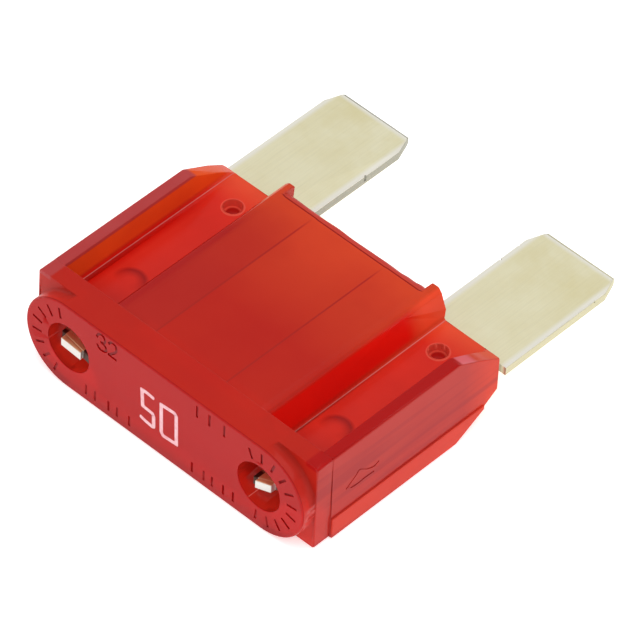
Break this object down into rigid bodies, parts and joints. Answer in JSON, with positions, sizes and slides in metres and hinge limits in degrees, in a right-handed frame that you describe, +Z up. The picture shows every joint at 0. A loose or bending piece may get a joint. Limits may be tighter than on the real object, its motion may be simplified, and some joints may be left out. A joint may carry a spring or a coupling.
{
  "type": "automotive blade fuse",
  "caption": "Large heavy-duty automotive blade fuse: translucent red moulded housing with a round-ended head and flat metal blades, lying on its flat side.",
  "frame": {"origin": "under the middle of the fuse, on the surface that it lies on", "axes": "+X across the blades, +Y from the head to the blade tips, +Z up through the thickness of the fuse"},
  "size_m": [0.0292, 0.0342, 0.0085],
  "materials": {
    "housing": "translucent red moulded thermoplastic, smooth with a soft gloss",
    "fuse_element": "stamped zinc alloy with a tin finish, satin"
  },
  "bodies": {
    "root": {"housing": "housing", "fuse_element": "fuse_element"}
  },
  "joints": []
}
